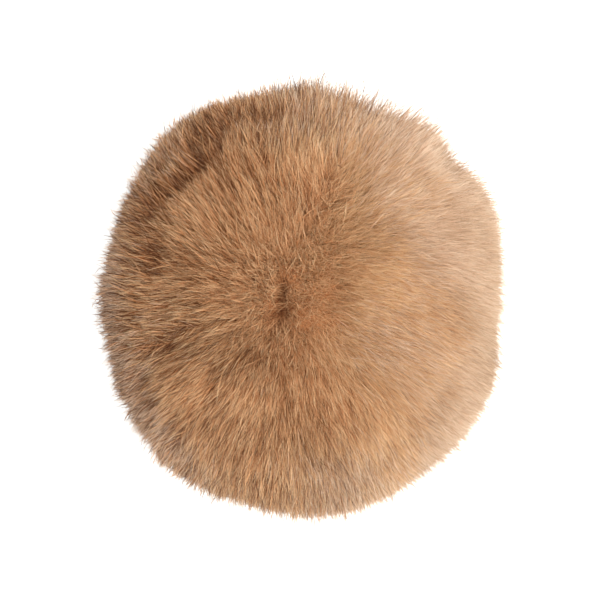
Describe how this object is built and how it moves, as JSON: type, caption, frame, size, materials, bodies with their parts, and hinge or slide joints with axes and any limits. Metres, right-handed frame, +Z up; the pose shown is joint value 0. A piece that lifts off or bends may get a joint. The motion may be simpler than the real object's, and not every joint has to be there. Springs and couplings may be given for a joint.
{
  "type": "pom pom",
  "caption": "Round fluffy ball of long camel-coloured fur pile, lying crown up on its gathered back, to trim a hat, bag, cushion or slipper.",
  "frame": {"origin": "on the ground, under the middle of the ball's outline seen from above", "axes": "+Z up out of the crown, +Y along the ball's longest width, +X across it"},
  "size_m": [0.1148, 0.1228, 0.1105],
  "materials": {
    "camel_fur": "long soft fur pile, matt, with tips paler than its roots"
  },
  "bodies": {
    "root": {"pom_pom": "camel_fur"}
  },
  "joints": []
}
